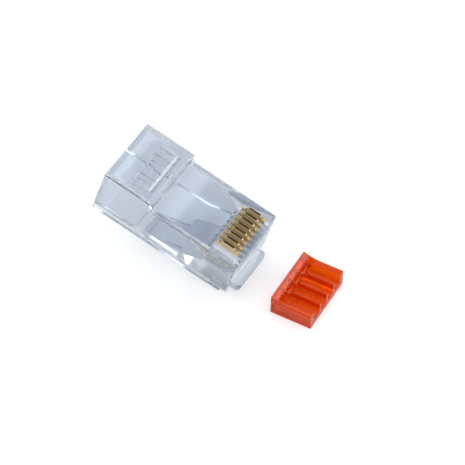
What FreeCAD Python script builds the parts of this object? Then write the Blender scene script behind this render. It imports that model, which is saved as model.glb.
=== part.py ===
import FreeCAD, Part

import math
import os

# Eight-contact modular plug, not yet crimped, with its load bar taken out beside it.
# Millimetres.  The plug is drawn in its own frame: x runs from the cable end (0) to the nose, y across,
# z up from the underside to the contacts.  It is then laid down nose-low on its lip and latch tail.

# Plug body, outside
BODY_WIDTH = 11.68
BODY_LENGTH = 22.3
REAR_BLOCK_LENGTH = 8.0
REAR_HEIGHT = 8.0
FRONT_HEIGHT = 6.6
TOP_EDGE_RADIUS = 0.25
STEP_RADIUS = 0.35
NOSE_CORNER_RADIUS = 0.6

# Rails along the two lower edges, and the lead-in cut under the corners of the nose
RAIL_HEIGHT = 0.8
RAIL_LEDGE = 0.08
RAIL_SETBACK = 0.9
RAIL_TOE_LENGTH = 1.9
RAIL_TOE_WIDTH = 1.4
RAIL_TOE_RISE = 0.12
NOSE_LEAD_IN = 0.55

# Lip below the nose, which the latch bends from
LIP_WIDTH = 7.5
LIP_REACH = 1.3
LIP_TOP = 0.6
LIP_BOTTOM = -0.55
LIP_CORNER_RADIUS = 0.8
LIP_EDGE_RADIUS = 0.3

# Walls and inner space
SIDE_WALL = 0.95
ROOF = 0.8
FRONT_ROOF = 0.6
FLOOR = 0.8
UNDERSIDE_RECESS = 0.5
MOUTH_CHAMFER = 0.35
MOUTH_DEPTH = 0.85
SEAT_STEP = 0.3
SEAT_START = 7.0
SEAT_END = 13.7
FUNNEL_LENGTH = 3.6

# Contacts, their slots and the wire channels under them
CONTACT_COUNT = 8
CONTACT_PITCH = 1.02
CONTACT_THICKNESS = 0.35
CONTACT_CLEARANCE = 0.03
CONTACT_LENGTH = 3.75
CONTACT_SETBACK = 0.83
CONTACT_TOP = 7.5
CRIMP_TRAVEL = 1.45
CROWN_INSET = 0.9
CROWN_ROUNDING = 0.12
EAR_TOP = 7.1
EAR_HEIGHT = 1.0
EAR_LENGTH = 0.32
EAR_DIP = 0.2
EAR_REACH = 0.15
SHELF_LENGTH = 0.2
BLADE_HEIGHT = 2.3
TINE_LENGTH = 0.85
TINE_COUNT = 3
SLOT_MOUTH_WIDTH = 0.6
SLOT_MOUTH_DEPTH = 0.7
SLOT_END_GAP = 0.1
SLOT_FLOOR_GAP = 0.1
NOSE_SLOT_FLOOR = 3.9
WIRE_CHANNEL_RADIUS = 0.45
WIRE_CHANNEL_HEIGHT = 3.4
NOSE_WALL = 1.1

# Strain-relief bar in its window over the cable
WINDOW_START = 3.4
WINDOW_LENGTH = 3.1
WINDOW_WIDTH = 7.8
BAR_GAP = 0.15
BAR_BARREL_RADIUS = 0.38
BAR_PIVOT_DROP = 0.6
BAR_ROOT_THICKNESS = 0.6
BAR_END_THICKNESS = 1.35
BAR_SINK = 0.12
BAR_FLUTE_RADIUS = 0.75
BAR_FLUTE_SPACING = 4.0
BAR_GROOVE_COUNT = 2
BAR_GROOVE_WIDTH = 0.4
BAR_GROOVE_DEPTH = 0.3

# Latch
LATCH_WIDTH = 6.0
LATCH_TAIL_WIDTH = 3.25
LATCH_LENGTH = 14.0
LATCH_DROP_ANGLE = 14.45
SHOULDER_FROM_NOSE = 8.36
LATCH_ROOT_THICKNESS = 0.8
LATCH_SHOULDER_THICKNESS = 1.2
LATCH_TAIL_THICKNESS = 0.95
LATCH_UNDER = 0.5
LATCH_BARREL_RADIUS = 0.5
LATCH_TAIL_RADIUS = 0.6
LATCH_TAIL_CORNER = 0.9
LATCH_PIVOT_SETBACK = 0.9
LATCH_PIVOT_HEIGHT = -0.35
LATCH_SIDE_GAP = 0.12
HINGE_CLEARANCE = 0.03

# Load bar, lying flat in front of the nose
LOAD_BAR_CLEARANCE = 0.04
LOAD_BAR_LENGTH = 6.3
LOAD_BAR_REAR_HEIGHT = 3.16
LOAD_BAR_HEIGHT = 2.55
LOAD_BAR_RAMP = 1.65
LOAD_BAR_RAMP_BLEND = 5.0
LOAD_BAR_BRIDGE = 1.5
LOAD_BAR_TUNNEL_HEIGHT = 1.1
LOAD_BAR_FLOOR = 0.75
LOAD_BAR_RIB = 0.3
LOAD_BAR_DISTANCE = 5.4
LOAD_BAR_OFFSET = 0.33
LOAD_BAR_TURN = 2.0
PAIRS = CONTACT_COUNT // 2

# Sizes that follow from the ones above
OVERSHOOT = 1.0
TOUCHING = 1e-6
HALF_WIDTH = BODY_WIDTH / 2
INNER_HALF = HALF_WIDTH - SIDE_WALL
FLOOR_TOP = UNDERSIDE_RECESS + FLOOR
SEAT_FLOOR = FLOOR_TOP + SEAT_STEP
REAR_CEILING = REAR_HEIGHT - ROOF
FRONT_CEILING = FRONT_HEIGHT - FRONT_ROOF
CONTACT_FRONT = BODY_LENGTH - CONTACT_SETBACK
CONTACT_REAR = CONTACT_FRONT - CONTACT_LENGTH
SLOT_WIDTH = CONTACT_THICKNESS + 2 * CONTACT_CLEARANCE
BLADE_BOTTOM = CONTACT_TOP - BLADE_HEIGHT
CHANNEL_END = BODY_LENGTH - NOSE_WALL
FUNNEL_END = SEAT_END + FUNNEL_LENGTH
LATCH_PIVOT_X = BODY_LENGTH - LATCH_PIVOT_SETBACK
BAR_PIVOT_X = WINDOW_START + WINDOW_LENGTH - BAR_BARREL_RADIUS / 2
BAR_PIVOT_Z = REAR_HEIGHT - BAR_PIVOT_DROP
LOAD_BAR_WIDTH = 2 * (INNER_HALF - LOAD_BAR_CLEARANCE)
X_AXIS = FreeCAD.Vector(1, 0, 0)
Y_AXIS = FreeCAD.Vector(0, 1, 0)
Z_AXIS = FreeCAD.Vector(0, 0, 1)


def block(x0, x1, y0, y1, z0, z1):
    """Box between two corners."""
    return Part.makeBox(x1 - x0, y1 - y0, z1 - z0, FreeCAD.Vector(x0, y0, z0))


def centred_block(x0, x1, width, z0, z1):
    """Box centred across the plug."""
    return block(x0, x1, -width / 2, width / 2, z0, z1)


def side_prism(profile, width, y_centre=0.0):
    """Extrude an (x, z) outline across the plug."""
    points = [FreeCAD.Vector(x, y_centre - width / 2, z) for x, z in profile]
    return Part.Face(Part.makePolygon(points + points[:1])).extrude(Y_AXIS * width)


def end_prism(profile, x0, x1):
    """Extrude a (y, z) outline along the plug."""
    points = [FreeCAD.Vector(x0, y, z) for y, z in profile]
    return Part.Face(Part.makePolygon(points + points[:1])).extrude(X_AXIS * (x1 - x0))


def cross_cylinder(radius, width, x, z, y_centre=0.0):
    """Round bar lying across the plug."""
    start = FreeCAD.Vector(x, y_centre - width / 2, z)
    return Part.makeCylinder(radius, width, start, Y_AXIS)


def long_cylinder(radius, x0, x1, y, z):
    """Round bar lying along the plug."""
    return Part.makeCylinder(radius, x1 - x0, FreeCAD.Vector(x0, y, z), X_AXIS)


def rectangle_wire(x, half_width, z0, z1):
    """Upright rectangle at one station along the plug."""
    corners = [(-half_width, z0), (half_width, z0), (half_width, z1), (-half_width, z1)]
    points = [FreeCAD.Vector(x, y, z) for y, z in corners]
    return Part.makePolygon(points + points[:1])


def edges_along(shape, axis, test):
    """Straight edges parallel to an axis whose middle passes a test."""
    found = []
    for edge in shape.Edges:
        start, end = edge.Vertexes[0].Point, edge.Vertexes[-1].Point
        run = end - start
        along_axis = run.Length > 0 and abs(abs(run.dot(axis)) - run.Length) < TOUCHING
        if along_axis and test((start + end) * 0.5):
            found.append(edge)
    return found


def positions(count, pitch):
    """Places of a centred row."""
    return [(index - (count - 1) / 2) * pitch for index in range(count)]


def rounded_bar(x1, height):
    """Plain bar from the cable end with its two long top edges rounded."""
    bar = centred_block(0, x1, BODY_WIDTH - 2 * RAIL_LEDGE, 0, height)
    return bar.makeFillet(TOP_EDGE_RADIUS, edges_along(bar, X_AXIS, lambda p: p.z > height / 2))


def body_outside():
    """Outer form of the plug body: rear block, lower front, rails and nose."""
    profile = [(0, 0), (BODY_LENGTH, 0), (BODY_LENGTH, FRONT_HEIGHT), (REAR_BLOCK_LENGTH, FRONT_HEIGHT),
               (REAR_BLOCK_LENGTH, REAR_HEIGHT), (0, REAR_HEIGHT)]
    body = side_prism(profile, BODY_WIDTH)
    body = body.makeFillet(NOSE_CORNER_RADIUS, edges_along(body, Z_AXIS, lambda p: p.x > REAR_BLOCK_LENGTH))
    step = edges_along(body, Y_AXIS, lambda p: abs(p.x - REAR_BLOCK_LENGTH) < TOUCHING)
    body = body.makeFillet(STEP_RADIUS, step)
    section = rounded_bar(REAR_BLOCK_LENGTH + STEP_RADIUS, REAR_HEIGHT)
    section = section.fuse(rounded_bar(BODY_LENGTH, FRONT_HEIGHT))
    section = section.fuse(centred_block(0, BODY_LENGTH, BODY_WIDTH, 0, RAIL_HEIGHT))
    body = body.common(section)
    for side in (-1, 1):
        body = body.cut(nose_lead_in(side))
    return body


def nose_lead_in(side):
    """Slanted cut that frees the lower corner of the nose, and the raised toe of the rail behind it."""
    rail_end = BODY_LENGTH - RAIL_SETBACK
    outer = HALF_WIDTH + OVERSHOOT
    slope = NOSE_LEAD_IN / RAIL_HEIGHT
    corner = [(side * (HALF_WIDTH - NOSE_LEAD_IN - slope * OVERSHOOT), -OVERSHOOT),
              (side * outer, -OVERSHOOT), (side * outer, RAIL_HEIGHT), (side * HALF_WIDTH, RAIL_HEIGHT)]
    lead_in = end_prism(corner, rail_end, BODY_LENGTH + OVERSHOOT)
    inner = HALF_WIDTH - RAIL_TOE_WIDTH
    toe = block(rail_end - RAIL_TOE_LENGTH, rail_end + OVERSHOOT, min(side * inner, side * outer),
                max(side * inner, side * outer), -OVERSHOOT, RAIL_TOE_RISE)
    return lead_in.fuse(toe)


def lip():
    """Rounded lip under the nose, with its inner end hollowed for the barrel of the latch."""
    start = BODY_LENGTH - RAIL_SETBACK - OVERSHOOT
    end = BODY_LENGTH + LIP_REACH
    plan = centred_block(start, end, LIP_WIDTH, LIP_BOTTOM, LIP_TOP)
    plan = plan.makeFillet(LIP_CORNER_RADIUS, edges_along(plan, Z_AXIS, lambda p: p.x > BODY_LENGTH))
    side = centred_block(start, end, BODY_WIDTH, LIP_BOTTOM, LIP_TOP)
    side = side.makeFillet(LIP_EDGE_RADIUS, edges_along(side, Y_AXIS, lambda p: p.x > BODY_LENGTH))
    behind = centred_block(start - OVERSHOOT, LATCH_PIVOT_X, BODY_WIDTH, LIP_BOTTOM - OVERSHOOT, 0)
    return plan.common(side).cut(behind)


def latch_room():
    """Space under the body that the latch folds into, with the round seat of its barrel."""
    reach = HALF_WIDTH - SIDE_WALL
    nose_block = BODY_LENGTH - RAIL_SETBACK - RAIL_TOE_LENGTH
    recess = block(-OVERSHOOT, nose_block, -reach, reach, -OVERSHOOT, UNDERSIDE_RECESS)
    width = LATCH_WIDTH + 2 * LATCH_SIDE_GAP
    channel = centred_block(-OVERSHOOT, LATCH_PIVOT_X, width, -OVERSHOOT, UNDERSIDE_RECESS)
    seat = cross_cylinder(LATCH_BARREL_RADIUS + HINGE_CLEARANCE, width, LATCH_PIVOT_X, LATCH_PIVOT_HEIGHT)
    return recess.fuse(channel).fuse(seat)


def inner_space():
    """Cable room, load bar seat, funnel and wire channels as one negative."""
    width = 2 * INNER_HALF
    room = centred_block(-OVERSHOOT, REAR_BLOCK_LENGTH - ROOF, width, FLOOR_TOP, REAR_CEILING)
    mouth = Part.makeLoft([rectangle_wire(0, INNER_HALF + MOUTH_CHAMFER, FLOOR_TOP - MOUTH_CHAMFER,
                                          REAR_CEILING + MOUTH_CHAMFER),
                           rectangle_wire(MOUTH_DEPTH, INNER_HALF, FLOOR_TOP, REAR_CEILING)], True, True)
    ramp = SEAT_START - SEAT_STEP
    seat_profile = [(ramp, FLOOR_TOP), (SEAT_START, SEAT_FLOOR), (SEAT_END, SEAT_FLOOR),
                    (SEAT_END, FRONT_CEILING), (ramp, FRONT_CEILING)]
    seat = side_prism(seat_profile, width)
    low = centred_block(-OVERSHOOT, ramp, width, FLOOR_TOP, FRONT_CEILING)
    row_half = (CONTACT_COUNT - 1) / 2 * CONTACT_PITCH + WIRE_CHANNEL_RADIUS
    funnel = Part.makeLoft([rectangle_wire(SEAT_END, INNER_HALF, SEAT_FLOOR, FRONT_CEILING),
                            rectangle_wire(FUNNEL_END, row_half, WIRE_CHANNEL_HEIGHT - WIRE_CHANNEL_RADIUS,
                                           WIRE_CHANNEL_HEIGHT + WIRE_CHANNEL_RADIUS)], True, True)
    space = room.cut(centred_block(ramp, BODY_LENGTH, BODY_WIDTH, 0, SEAT_FLOOR))
    space = space.fuse(low).fuse(mouth).fuse(seat).fuse(funnel)
    for y in positions(CONTACT_COUNT, CONTACT_PITCH):
        space = space.fuse(long_cylinder(WIRE_CHANNEL_RADIUS, SEAT_END, CHANNEL_END, y, WIRE_CHANNEL_HEIGHT))
    return space


def contact_slot(y):
    """Slot of one contact: a wide mouth, a close guide for the blade, and the open groove in the nose."""
    rear = CONTACT_REAR - SLOT_END_GAP
    top = FRONT_HEIGHT + OVERSHOOT
    guide_end = CONTACT_FRONT + SLOT_END_GAP
    mouth_floor = FRONT_HEIGHT - SLOT_MOUTH_DEPTH
    guide_floor = BLADE_BOTTOM - TINE_LENGTH - CRIMP_TRAVEL - SLOT_FLOOR_GAP
    guide = centred_block(rear, guide_end, SLOT_WIDTH, guide_floor, top)
    mouth = centred_block(rear, BODY_LENGTH + OVERSHOOT, SLOT_MOUTH_WIDTH, mouth_floor, top)
    groove = centred_block(guide_end, BODY_LENGTH + OVERSHOOT, SLOT_MOUTH_WIDTH, NOSE_SLOT_FLOOR, top)
    slot = guide.fuse(mouth).fuse(groove)
    slot.translate(Y_AXIS * y)
    return slot


def strain_window():
    """Window in the roof of the rear block, with the round seat of the bar's barrel."""
    window = centred_block(WINDOW_START, WINDOW_START + WINDOW_LENGTH, WINDOW_WIDTH,
                           REAR_CEILING - OVERSHOOT / 2, REAR_HEIGHT + OVERSHOOT)
    seat = cross_cylinder(BAR_BARREL_RADIUS + HINGE_CLEARANCE, WINDOW_WIDTH, BAR_PIVOT_X, BAR_PIVOT_Z)
    return window.fuse(seat)


def housing():
    """Clear one-piece moulding that holds everything else."""
    shape = body_outside().fuse(lip())
    shape = shape.cut(inner_space())
    shape = shape.cut(strain_window())
    shape = shape.cut(latch_room())
    for y in positions(CONTACT_COUNT, CONTACT_PITCH):
        shape = shape.cut(contact_slot(y))
    return shape.removeSplitter()


def latch_point(along, above):
    """Point on the latch arm at rest: distance from its hinge, and height over its middle line."""
    drop = math.radians(LATCH_DROP_ANGLE)
    x = LATCH_PIVOT_X - along * math.cos(drop) - above * math.sin(drop)
    z = LATCH_PIVOT_HEIGHT - along * math.sin(drop) + above * math.cos(drop)
    return x, z


def latch_tail_centre():
    """Middle of the rounded end of the tail, which touches the table."""
    return latch_point(LATCH_LENGTH, LATCH_TAIL_RADIUS - LATCH_UNDER - LATCH_BARREL_RADIUS / 2)


def latch_tab():
    """Latch arm: barrel, wide part with its two shoulders, narrow tail with a rounded end."""
    shoulder = (SHOULDER_FROM_NOSE - LATCH_PIVOT_SETBACK) / math.cos(math.radians(LATCH_DROP_ANGLE))
    tail_x, tail_z = latch_tail_centre()
    outline = [latch_point(0, LATCH_ROOT_THICKNESS - LATCH_UNDER),
               latch_point(shoulder / 2, LATCH_ROOT_THICKNESS - LATCH_UNDER),
               latch_point(shoulder, LATCH_SHOULDER_THICKNESS - LATCH_UNDER),
               latch_point(shoulder, LATCH_TAIL_THICKNESS - LATCH_UNDER),
               latch_point(LATCH_LENGTH, LATCH_TAIL_THICKNESS - LATCH_UNDER),
               latch_point(LATCH_LENGTH, -LATCH_UNDER),
               latch_point(0, -LATCH_UNDER)]
    arm = side_prism(outline, LATCH_WIDTH)
    arm = arm.fuse(cross_cylinder(LATCH_BARREL_RADIUS, LATCH_WIDTH, LATCH_PIVOT_X, LATCH_PIVOT_HEIGHT))
    arm = arm.fuse(cross_cylinder(LATCH_TAIL_RADIUS, LATCH_WIDTH, tail_x, tail_z))
    shoulder_x = latch_point(shoulder, 0)[0]
    end_x = tail_x - LATCH_TAIL_RADIUS
    plan = centred_block(shoulder_x, BODY_LENGTH, LATCH_WIDTH, -BODY_LENGTH, REAR_HEIGHT)
    tail = centred_block(end_x, shoulder_x, LATCH_TAIL_WIDTH, -BODY_LENGTH, REAR_HEIGHT)
    tail = tail.makeFillet(LATCH_TAIL_CORNER, edges_along(tail, Z_AXIS, lambda p: p.x < end_x + TOUCHING))
    return arm.common(plan.fuse(tail)).removeSplitter()


def strain_relief_bar():
    """Wedge that the crimp tool folds down on the cable jacket, fluted and grooved underneath."""
    free_end = WINDOW_START + BAR_GAP
    top = REAR_HEIGHT - BAR_SINK
    root_bottom = BAR_PIVOT_Z - BAR_BARREL_RADIUS
    outline = [(BAR_PIVOT_X, BAR_PIVOT_Z + BAR_BARREL_RADIUS), (BAR_PIVOT_X - BAR_BARREL_RADIUS, top),
               (free_end + BAR_GAP, top), (free_end, top - BAR_GAP), (free_end, top - BAR_END_THICKNESS),
               (free_end + BAR_ROOT_THICKNESS, top - BAR_END_THICKNESS), (BAR_PIVOT_X, root_bottom)]
    width = WINDOW_WIDTH - 2 * BAR_GAP
    bar = side_prism(outline, width)
    bar = bar.fuse(cross_cylinder(BAR_BARREL_RADIUS, width, BAR_PIVOT_X, BAR_PIVOT_Z))
    for side in (-1, 1):
        flute = long_cylinder(BAR_FLUTE_RADIUS, 0, REAR_BLOCK_LENGTH, side * BAR_FLUTE_SPACING / 2,
                              top - BAR_END_THICKNESS)
        bar = bar.cut(flute)
    spacing = (BAR_PIVOT_X - free_end) / (BAR_GROOVE_COUNT + 1)
    for index in range(BAR_GROOVE_COUNT):
        centre = free_end + spacing * (index + 1)
        groove = centred_block(centre - BAR_GROOVE_WIDTH / 2, centre + BAR_GROOVE_WIDTH / 2, WINDOW_WIDTH,
                               0, top - BAR_END_THICKNESS + BAR_GROOVE_DEPTH)
        bar = bar.cut(groove)
    return bar.removeSplitter()


def contact(y):
    """Stamped contact blade with an ear at each end, a flat crown and piercing tines below."""
    rear, front = CONTACT_REAR, CONTACT_FRONT
    neck = EAR_TOP - EAR_DIP
    foot = EAR_TOP - EAR_HEIGHT
    crown_rear = rear + CROWN_INSET
    crown_front = front - CROWN_INSET
    shelf = EAR_TOP + CROWN_ROUNDING
    outline = [(rear, foot), (rear, EAR_TOP - CROWN_ROUNDING), (rear + CROWN_ROUNDING, EAR_TOP),
               (rear + EAR_LENGTH, neck), (crown_rear - EAR_LENGTH, neck),
               (crown_rear, CONTACT_TOP), (crown_front, CONTACT_TOP),
               (crown_front + CROWN_ROUNDING, CONTACT_TOP - CROWN_ROUNDING),
               (crown_front + SHELF_LENGTH, shelf), (crown_front + 2 * SHELF_LENGTH, shelf),
               (front - EAR_LENGTH, neck), (front - EAR_REACH, EAR_TOP),
               (front, EAR_TOP - CROWN_ROUNDING), (front, foot),
               (front - EAR_REACH, foot - EAR_REACH), (front - EAR_REACH, BLADE_BOTTOM)]
    tine_pitch = (CONTACT_LENGTH - 2 * EAR_REACH) / TINE_COUNT
    for index in range(TINE_COUNT):
        base = front - EAR_REACH - tine_pitch * index
        outline.append((base - tine_pitch / 2, BLADE_BOTTOM - TINE_LENGTH))
        outline.append((base - tine_pitch, BLADE_BOTTOM))
    outline.append((rear + EAR_REACH, foot - EAR_REACH))
    return side_prism(outline, CONTACT_THICKNESS, y)


def load_bar_channel(y):
    """Round-bottomed channel for one pair of wires: a low tunnel, then an open trough with a round end."""
    radius = (2 * CONTACT_PITCH - LOAD_BAR_RIB) / 2
    centre = LOAD_BAR_FLOOR + radius
    trough_start = LOAD_BAR_BRIDGE + radius
    end = LOAD_BAR_LENGTH + OVERSHOOT
    section = long_cylinder(radius, -OVERSHOOT, end, y, centre)
    section = section.fuse(block(-OVERSHOOT, end, y - radius, y + radius, centre, LOAD_BAR_REAR_HEIGHT))
    plan = block(trough_start, end, y - radius, y + radius, 0, LOAD_BAR_REAR_HEIGHT)
    plan = plan.fuse(Part.makeCylinder(radius, LOAD_BAR_REAR_HEIGHT, FreeCAD.Vector(trough_start, y, 0)))
    tunnel = block(-OVERSHOOT, trough_start, y - radius, y + radius, 0,
                   LOAD_BAR_FLOOR + LOAD_BAR_TUNNEL_HEIGHT)
    return section.common(plan.fuse(tunnel))


def load_bar():
    """Wire guide: a comb of open channels, bridged at their rear end by a ramp with a swept foot."""
    outline = [(0, 0), (LOAD_BAR_LENGTH, 0), (LOAD_BAR_LENGTH, LOAD_BAR_HEIGHT),
               (LOAD_BAR_RAMP, LOAD_BAR_HEIGHT), (0, LOAD_BAR_REAR_HEIGHT)]
    bar = side_prism(outline, LOAD_BAR_WIDTH)
    foot = edges_along(bar, Y_AXIS, lambda p: abs(p.x - LOAD_BAR_RAMP) < TOUCHING)
    bar = bar.makeFillet(LOAD_BAR_RAMP_BLEND, foot)
    for y in positions(PAIRS, 2 * CONTACT_PITCH):
        bar = bar.cut(load_bar_channel(y))
    return bar.removeSplitter()


def lip_edge_centre():
    """Middle of the rounded lower edge of the lip, which touches the table."""
    return BODY_LENGTH + LIP_REACH - LIP_EDGE_RADIUS, LIP_BOTTOM + LIP_EDGE_RADIUS


def lie_angle():
    """Angle of the line under the lip and the latch tail, which becomes the table."""
    lip_x, lip_z = lip_edge_centre()
    tail_x, tail_z = latch_tail_centre()
    chord = math.hypot(lip_x - tail_x, lip_z - tail_z)
    slope = math.atan2(lip_z - tail_z, lip_x - tail_x)
    return math.degrees(slope + math.asin((LATCH_TAIL_RADIUS - LIP_EDGE_RADIUS) / chord))


def lay_down(shapes):
    """Turn the plug nose-low, set the load bar in front of it, and put the origin under the middle."""
    tilt = FreeCAD.Rotation(Y_AXIS, lie_angle())
    lip_x, lip_z = lip_edge_centre()
    lip_edge = tilt.multVec(FreeCAD.Vector(lip_x, 0, lip_z))
    lift = Z_AXIS * (LIP_EDGE_RADIUS - lip_edge.z)
    laid = {name: shape.copy() for name, shape in shapes.items()}
    for name, shape in laid.items():
        if name == "load_bar":
            start_x = lip_edge.x + LIP_EDGE_RADIUS + LOAD_BAR_DISTANCE
            start = FreeCAD.Vector(start_x, LOAD_BAR_OFFSET, 0)
            shape.Placement = FreeCAD.Placement(start, FreeCAD.Rotation(Z_AXIS, LOAD_BAR_TURN))
        else:
            shape.Placement = FreeCAD.Placement(lift, tilt)
    whole = Part.makeCompound(list(laid.values())).optimalBoundingBox()
    shift = FreeCAD.Vector(-whole.Center.x, -whole.Center.y, -whole.ZMin)
    for shape in laid.values():
        shape.translate(shift)
    return laid, shift


def all_nodes():
    """Every node by name, in the plug's own frame."""
    nodes = {"housing": housing(), "latch_tab": latch_tab(), "strain_relief_bar": strain_relief_bar()}
    for index, y in enumerate(reversed(positions(CONTACT_COUNT, CONTACT_PITCH))):
        nodes["contact_%d" % (index + 1)] = contact(y)
    nodes["load_bar"] = load_bar()
    return nodes


os.makedirs("parts", exist_ok=True)
finished, frame_shift = lay_down(all_nodes())
for node, solid in finished.items():
    solid.exportStep("parts/%s.step" % node)
    print("%-18s valid %s solids %d volume %.3f" % (node, solid.isValid(), len(solid.Solids), solid.Volume))
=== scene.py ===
import math

import bpy
from mathutils import Matrix, Vector


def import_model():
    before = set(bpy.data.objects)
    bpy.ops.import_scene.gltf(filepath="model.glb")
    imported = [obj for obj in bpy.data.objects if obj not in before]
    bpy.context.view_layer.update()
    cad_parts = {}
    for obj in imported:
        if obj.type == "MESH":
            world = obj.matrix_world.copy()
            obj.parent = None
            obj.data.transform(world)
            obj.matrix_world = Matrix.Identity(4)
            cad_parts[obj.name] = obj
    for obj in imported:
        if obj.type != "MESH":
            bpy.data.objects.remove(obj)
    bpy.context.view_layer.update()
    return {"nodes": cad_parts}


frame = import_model()

MM = 0.001
CONTACTS = ["contact_%d" % (index + 1) for index in range(8)]

# Camera: one long lens, high over the nose end, slightly rolled
CAMERA_LENS = 298.72
CAMERA_SENSOR = 36.0
CAMERA_DISTANCE = 0.54626
CAMERA_ELEVATION = math.radians(48.465)
CAMERA_AZIMUTH = math.radians(28.774)
CAMERA_ROLL = math.radians(-2.333)
CAMERA_TARGET = Vector((-0.916, 5.378, 0.0)) * MM

# Light paths need this many bounces to leave the thin walls of the clear moulding
GLASS_BOUNCES = 40

# Colours are linear; the widths of rounded edges are in mm, the sizes of textures in features a metre
CLEAR_TINT = (0.71, 0.755, 0.815, 1.0)
CLEAR_TRANSMISSION = 0.93
CLEAR_SHADOW = (0.955, 0.96, 0.965, 1.0)
CLEAR_IOR = 1.585
CLEAR_ROUGHNESS = (0.0, 0.04)
CLEAR_HAZE_SCALE = 900.0
CLEAR_WAVE_SCALE = 260.0
CLEAR_WAVE = (0.02, 0.0002)
BAR_TINT = (0.80, 0.13, 0.002, 1.0)
BAR_TRANSMISSION = 0.84
BAR_ABSORPTION = (0.95, 0.25, 0.01, 1.0)
BAR_DENSITY = 250.0
BAR_GLOSS = 0.1
BAR_IOR = 1.38
BAR_ROUGHNESS = (0.02, 0.06)
BAR_HAZE_SCALE = 1500.0
BAR_WAVE_SCALE = 300.0
BAR_WAVE = (0.008, 0.0001)
BAR_SHADOW = (0.94, 0.91, 0.90, 1.0)
GOLD_LIGHT = (0.88, 0.64, 0.30, 1.0)
GOLD_DARK = (0.66, 0.45, 0.20, 1.0)
# Paler gold on the flat sides of the contacts is a painted sheen that stands in for the light they catch,
# not a different plating
GOLD_PAINTED_SIDE_SHEEN = (1.0, 0.80, 0.48, 1.0)
GOLD_SATIN = 0.45
GOLD_STREAK_SCALE = 3000.0
GOLD_STREAK_MIX = (0.2, 1.2)
GOLD_ROUGHNESS = (0.01, 0.06)
GOLD_WAVE = (0.02, 0.00002)
# Range of the side mask, which gives the flat sides their satin roughness and the painted sheen colour
GOLD_SHEEN_AND_SATIN_SIDE_FROM = 0.6
GOLD_SHEEN_AND_SATIN_SIDE_TO = 0.95
FLOOR_COLOUR = (0.90, 0.90, 0.90, 1.0)
FLOOR_LIFT = 0.28
FLOOR_SIZE = 6.0
EDGE_HOUSING = 0.06
EDGE_LATCH = 0.08
EDGE_STRAIN_BAR = 0.06
EDGE_CONTACT = 0.03
EDGE_LOAD_BAR = 0.05
EDGE_SEGMENTS = 2
EDGE_ANGLE = math.radians(32)
FLAT_ANGLE = math.radians(1.0)
WELD_GAP = 0.0005

# Surround: brightness, the dark flag that the crowns of the contacts mirror, and the softbox that the ramp
# of the load bar mirrors; angles in degrees
SKY_LOW = (0.88, 0.89, 0.91, 1.0)
SKY_HIGH = (0.95, 0.96, 0.98, 1.0)
SKY_STRENGTH = 0.8
FLAG_TOWARDS = (0.094, 0.58, 0.81)
FLAG_INNER = 10.0
FLAG_OUTER = 14.0
FLAG_DEPTH = 0.96
SOFTBOX_TOWARDS = (0.32, 0.60, 0.73)
SOFTBOX_INNER = 4.0
SOFTBOX_OUTER = 10.0
SOFTBOX_STRENGTH = 4.2
SKY_TOP = 0.75

# Lamps: name, azimuth, elevation, strength, angle across
SUNS = (("key", 150, 70, 0.4, 30), ("fill", -60, 50, 0.2, 40))


def socket_value(node, **values):
    """Set inputs of a node by name, with underscores for spaces."""
    for name, value in values.items():
        node.inputs[name.replace("_", " ")].default_value = value


def new_material(name):
    """Empty node material and its tree and output."""
    material = bpy.data.materials.new(name)
    material.use_nodes = True
    tree = material.node_tree
    tree.nodes.clear()
    output = tree.nodes.new("ShaderNodeOutputMaterial")
    return material, tree, output


def object_coordinates(tree, scale):
    """Object coordinates scaled to a number of features a metre."""
    coordinates = tree.nodes.new("ShaderNodeTexCoord")
    mapping = tree.nodes.new("ShaderNodeMapping")
    mapping.inputs["Scale"].default_value = (scale, scale, scale)
    tree.links.new(coordinates.outputs["Object"], mapping.inputs["Vector"])
    return mapping.outputs["Vector"]


def noise(tree, vector, scale, detail=3.0, roughness=0.5):
    """Noise value over a vector."""
    node = tree.nodes.new("ShaderNodeTexNoise")
    socket_value(node, Scale=scale, Detail=detail, Roughness=roughness)
    tree.links.new(vector, node.inputs["Vector"])
    return node.outputs["Fac"]


def ranged(tree, value, low, high):
    """Map a value from 0..1 to a range."""
    node = tree.nodes.new("ShaderNodeMapRange")
    socket_value(node, To_Min=low, To_Max=high)
    tree.links.new(value, node.inputs["Value"])
    return node.outputs["Result"]


def bump(tree, height, strength, distance):
    """Bump from a height value."""
    node = tree.nodes.new("ShaderNodeBump")
    socket_value(node, Strength=strength, Distance=distance)
    tree.links.new(height, node.inputs["Height"])
    return node.outputs["Normal"]


def maths(tree, operation, first, second):
    """Math node on a value or socket and a value or socket."""
    node = tree.nodes.new("ShaderNodeMath")
    node.operation = operation
    for socket, value in zip(node.inputs, (first, second)):
        if isinstance(value, (int, float)):
            socket.default_value = value
        else:
            tree.links.new(value, socket)
    return node.outputs["Value"]


def mixed_colour(tree, factor, first, second):
    """Colour between two colours or sockets."""
    mix = tree.nodes.new("ShaderNodeMix")
    mix.data_type = "RGBA"
    tree.links.new(factor, mix.inputs[0])
    for name, value in (("A", first), ("B", second)):
        if isinstance(value, tuple):
            colour_socket(mix.inputs, name).default_value = value
        else:
            tree.links.new(value, colour_socket(mix.inputs, name))
    return colour_socket(mix.outputs, "Result")


def colour_socket(sockets, name):
    """The colour socket of a Mix node, which has one of each type by the same name."""
    return [socket for socket in sockets if socket.name == name and socket.type == "RGBA"][0]


def glass_output(tree, output, shader, shadow_colour):
    """Let lamps through the glass with a tint, so that it casts a light shadow."""
    path = tree.nodes.new("ShaderNodeLightPath")
    clear = tree.nodes.new("ShaderNodeBsdfTransparent")
    clear.inputs["Color"].default_value = shadow_colour
    mix = tree.nodes.new("ShaderNodeMixShader")
    tree.links.new(path.outputs["Is Shadow Ray"], mix.inputs["Fac"])
    tree.links.new(shader.outputs["BSDF"], mix.inputs[1])
    tree.links.new(clear.outputs["BSDF"], mix.inputs[2])
    tree.links.new(mix.outputs["Shader"], output.inputs["Surface"])


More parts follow.
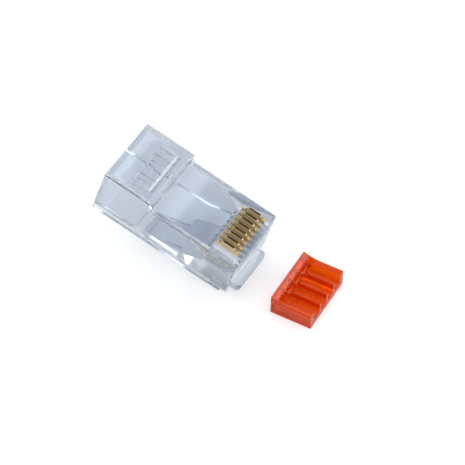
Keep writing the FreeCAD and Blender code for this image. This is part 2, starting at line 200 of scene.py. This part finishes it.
def absorption(tree, output, colour, density):
    """Colour that deepens with the thickness of the moulding."""
    volume = tree.nodes.new("ShaderNodeVolumeAbsorption")
    volume.inputs["Color"].default_value = colour
    volume.inputs["Density"].default_value = density
    tree.links.new(volume.outputs["Volume"], output.inputs["Volume"])


def clear_plastic():
    """Water-clear polycarbonate with a faint cool tint and the slight waviness of a moulding."""
    material, tree, output = new_material("clear_plastic")
    shader = tree.nodes.new("ShaderNodeBsdfPrincipled")
    socket_value(shader, Base_Color=CLEAR_TINT, IOR=CLEAR_IOR,
                 Transmission_Weight=CLEAR_TRANSMISSION)
    vector = object_coordinates(tree, 1.0)
    haze = ranged(tree, noise(tree, vector, CLEAR_HAZE_SCALE), *CLEAR_ROUGHNESS)
    tree.links.new(haze, shader.inputs["Roughness"])
    wave = noise(tree, vector, CLEAR_WAVE_SCALE, detail=1.0)
    tree.links.new(bump(tree, wave, *CLEAR_WAVE), shader.inputs["Normal"])
    glass_output(tree, output, shader, CLEAR_SHADOW)
    return material


def load_bar_plastic():
    """Translucent orange polycarbonate, deeper red where it is thick."""
    material, tree, output = new_material("load_bar_plastic")
    shader = tree.nodes.new("ShaderNodeBsdfPrincipled")
    socket_value(shader, Base_Color=BAR_TINT, IOR=BAR_IOR, Transmission_Weight=BAR_TRANSMISSION,
                 Specular_IOR_Level=BAR_GLOSS)
    vector = object_coordinates(tree, 1.0)
    haze = ranged(tree, noise(tree, vector, BAR_HAZE_SCALE), *BAR_ROUGHNESS)
    tree.links.new(haze, shader.inputs["Roughness"])
    wave = noise(tree, vector, BAR_WAVE_SCALE, detail=1.0)
    tree.links.new(bump(tree, wave, *BAR_WAVE), shader.inputs["Normal"])
    glass_output(tree, output, shader, BAR_SHADOW)
    absorption(tree, output, BAR_ABSORPTION, BAR_DENSITY)
    return material


def contact_gold():
    """Gold-plated stamped bronze: mirror-bright along the crown and satin on the two flat sides, whose
    paler colour is a painted sheen.
    """
    material, tree, output = new_material("contact_gold")
    shader = tree.nodes.new("ShaderNodeBsdfPrincipled")
    socket_value(shader, Metallic=1.0)
    vector = object_coordinates(tree, 1.0)
    streaks = noise(tree, vector, GOLD_STREAK_SCALE, detail=4.0)
    facing = tree.nodes.new("ShaderNodeTexCoord")
    split = tree.nodes.new("ShaderNodeSeparateXYZ")
    tree.links.new(facing.outputs["Normal"], split.inputs["Vector"])
    # Mask of the two flat sides: it sets their satin roughness and mixes in the paler gold there as a
    # painted sheen
    sheen_and_satin_side_node = tree.nodes.new("ShaderNodeMapRange")
    socket_value(sheen_and_satin_side_node, From_Min=GOLD_SHEEN_AND_SATIN_SIDE_FROM, From_Max=GOLD_SHEEN_AND_SATIN_SIDE_TO)
    tree.links.new(maths(tree, "ABSOLUTE", split.outputs["Y"], 0.0), sheen_and_satin_side_node.inputs["Value"])
    sheen_and_satin_side = sheen_and_satin_side_node.outputs["Result"]
    colour = mixed_colour(tree, ranged(tree, streaks, *GOLD_STREAK_MIX), GOLD_DARK, GOLD_LIGHT)
    tree.links.new(mixed_colour(tree, sheen_and_satin_side, colour, GOLD_PAINTED_SIDE_SHEEN), shader.inputs["Base Color"])
    mirror = ranged(tree, streaks, *GOLD_ROUGHNESS)
    satin = maths(tree, "MULTIPLY", sheen_and_satin_side, GOLD_SATIN)
    tree.links.new(maths(tree, "ADD", mirror, satin), shader.inputs["Roughness"])
    tree.links.new(bump(tree, streaks, *GOLD_WAVE), shader.inputs["Normal"])
    tree.links.new(shader.outputs["BSDF"], output.inputs["Surface"])
    return material


def dress(name, material, bevel_mm, smooth=True):
    """Give a CAD node its material and round its edges by modifiers; its vertices stay as they are."""
    piece = frame["nodes"][name]
    piece.data.materials.clear()
    piece.data.materials.append(material)
    weld = piece.modifiers.new("weld", "WELD")
    weld.merge_threshold = WELD_GAP * MM
    flat = piece.modifiers.new("flat", "DECIMATE")
    flat.decimate_type = "DISSOLVE"
    flat.angle_limit = FLAT_ANGLE
    edge = piece.modifiers.new("edge", "BEVEL")
    edge.width = bevel_mm * MM
    edge.segments = EDGE_SEGMENTS
    edge.limit_method = "ANGLE"
    edge.angle_limit = EDGE_ANGLE
    edge.use_clamp_overlap = True
    if smooth:
        even = piece.modifiers.new("even", "WEIGHTED_NORMAL")
        even.mode = "FACE_AREA"
        even.weight = 100
    for polygon in piece.data.polygons:
        polygon.use_smooth = smooth


def floor():
    """Plain floor that keeps the shadows and reads as white, also in and through the plastic."""
    bpy.ops.mesh.primitive_plane_add(size=FLOOR_SIZE, location=(0, 0, 0))
    plane = bpy.context.object
    plane.name = "floor"
    material, tree, output = new_material("floor")
    matt = tree.nodes.new("ShaderNodeBsdfDiffuse")
    matt.inputs["Color"].default_value = FLOOR_COLOUR
    glow = tree.nodes.new("ShaderNodeEmission")
    glow.inputs["Color"].default_value = (1, 1, 1, 1)
    path = tree.nodes.new("ShaderNodeLightPath")
    seen = maths(tree, "MAXIMUM", path.outputs["Is Camera Ray"], path.outputs["Is Transmission Ray"])
    seen = maths(tree, "MAXIMUM", seen, path.outputs["Is Glossy Ray"])
    tree.links.new(maths(tree, "MULTIPLY", seen, FLOOR_LIFT), glow.inputs["Strength"])
    add = tree.nodes.new("ShaderNodeAddShader")
    tree.links.new(matt.outputs["BSDF"], add.inputs[0])
    tree.links.new(glow.outputs["Emission"], add.inputs[1])
    tree.links.new(add.outputs["Shader"], output.inputs["Surface"])
    plane.data.materials.append(material)


def patch(tree, direction, towards, inner, outer):
    """Round patch of the sky: 1 within an inner angle of a direction, 0 past an outer one."""
    dot = tree.nodes.new("ShaderNodeVectorMath")
    dot.operation = "DOT_PRODUCT"
    tree.links.new(direction, dot.inputs[0])
    dot.inputs[1].default_value = Vector(towards).normalized()
    fade = tree.nodes.new("ShaderNodeMapRange")
    fade.interpolation_type = "SMOOTHSTEP"
    socket_value(fade, From_Min=math.cos(math.radians(outer)), From_Max=math.cos(math.radians(inner)))
    tree.links.new(dot.outputs["Value"], fade.inputs["Value"])
    return fade.outputs["Result"]


def world():
    """Soft white surround with the dark flag and the softbox; the flag shows in mirrors only."""
    scene_world = bpy.data.worlds.new("studio")
    bpy.context.scene.world = scene_world
    scene_world.use_nodes = True
    tree = scene_world.node_tree
    tree.nodes.clear()
    output = tree.nodes.new("ShaderNodeOutputWorld")
    light = tree.nodes.new("ShaderNodeBackground")
    coordinates = tree.nodes.new("ShaderNodeTexCoord")
    split = tree.nodes.new("ShaderNodeSeparateXYZ")
    direction = coordinates.outputs["Generated"]
    tree.links.new(direction, split.inputs["Vector"])
    ramp = tree.nodes.new("ShaderNodeValToRGB")
    ramp.color_ramp.elements[0].position = 0.0
    ramp.color_ramp.elements[0].color = SKY_LOW
    ramp.color_ramp.elements[1].position = SKY_TOP
    ramp.color_ramp.elements[1].color = SKY_HIGH
    tree.links.new(split.outputs["Z"], ramp.inputs["Fac"])
    tree.links.new(ramp.outputs["Color"], light.inputs["Color"])
    path = tree.nodes.new("ShaderNodeLightPath")
    mirrored = maths(tree, "SUBTRACT", 1.0, path.outputs["Is Transmission Ray"])
    flag = patch(tree, direction, FLAG_TOWARDS, FLAG_INNER, FLAG_OUTER)
    flag = maths(tree, "MULTIPLY", flag, mirrored)
    dark = maths(tree, "MULTIPLY", flag, SKY_STRENGTH * FLAG_DEPTH)
    left = maths(tree, "SUBTRACT", SKY_STRENGTH, dark)
    box = patch(tree, direction, SOFTBOX_TOWARDS, SOFTBOX_INNER, SOFTBOX_OUTER)
    lit = maths(tree, "ADD", left, maths(tree, "MULTIPLY", box, SOFTBOX_STRENGTH))
    tree.links.new(lit, light.inputs["Strength"])
    white = tree.nodes.new("ShaderNodeBackground")
    white.inputs["Color"].default_value = (1, 1, 1, 1)
    mix = tree.nodes.new("ShaderNodeMixShader")
    tree.links.new(path.outputs["Is Camera Ray"], mix.inputs["Fac"])
    tree.links.new(light.outputs["Background"], mix.inputs[1])
    tree.links.new(white.outputs["Background"], mix.inputs[2])
    tree.links.new(mix.outputs["Shader"], output.inputs["Surface"])


def sun(name, azimuth, elevation, strength, angle):
    """Wide soft lamp far away, from a compass direction and a height."""
    lamp = bpy.data.lights.new(name, "SUN")
    lamp.energy = strength
    lamp.angle = math.radians(angle)
    holder = bpy.data.objects.new(name, lamp)
    bpy.context.scene.collection.objects.link(holder)
    a, e = math.radians(azimuth), math.radians(elevation)
    towards = Vector((math.cos(a) * math.cos(e), math.sin(a) * math.cos(e), math.sin(e)))
    holder.rotation_euler = towards.to_track_quat("Z", "Y").to_euler()


def camera():
    """Camera at the viewing angle, rolled about its own axis."""
    lens = bpy.data.cameras.new("camera")
    lens.lens = CAMERA_LENS
    lens.sensor_width = CAMERA_SENSOR
    lens.sensor_fit = "HORIZONTAL"
    lens.clip_start = 0.01
    lens.clip_end = 50.0
    holder = bpy.data.objects.new("camera", lens)
    bpy.context.scene.collection.objects.link(holder)
    cos_e, sin_e = math.cos(CAMERA_ELEVATION), math.sin(CAMERA_ELEVATION)
    forward = Vector((-math.sin(CAMERA_AZIMUTH) * cos_e, math.cos(CAMERA_AZIMUTH) * cos_e, -sin_e))
    right = Vector((math.cos(CAMERA_AZIMUTH), math.sin(CAMERA_AZIMUTH), 0))
    down = forward.cross(right)
    c, s = math.cos(CAMERA_ROLL), math.sin(CAMERA_ROLL)
    image_right = right * c + down * s
    image_down = down * c - right * s
    place = CAMERA_TARGET - forward * CAMERA_DISTANCE
    columns = (image_right, -image_down, -forward)
    rows = [[column[row] for column in columns] + [place[row]] for row in range(3)]
    holder.matrix_world = Matrix(rows + [[0, 0, 0, 1]])
    bpy.context.scene.camera = holder


scene = bpy.context.scene
scene.view_settings.view_transform = "Standard"
scene.cycles.max_bounces = GLASS_BOUNCES
scene.cycles.transmission_bounces = GLASS_BOUNCES
scene.cycles.glossy_bounces = GLASS_BOUNCES

clear = clear_plastic()
orange = load_bar_plastic()
gold = contact_gold()
dress("housing", clear, EDGE_HOUSING)
dress("latch_tab", clear, EDGE_LATCH)
dress("strain_relief_bar", clear, EDGE_STRAIN_BAR)
for contact in CONTACTS:
    dress(contact, gold, EDGE_CONTACT, smooth=False)
dress("load_bar", orange, EDGE_LOAD_BAR)

camera()
floor()
world()
for lamp_values in SUNS:
    sun(*lamp_values)
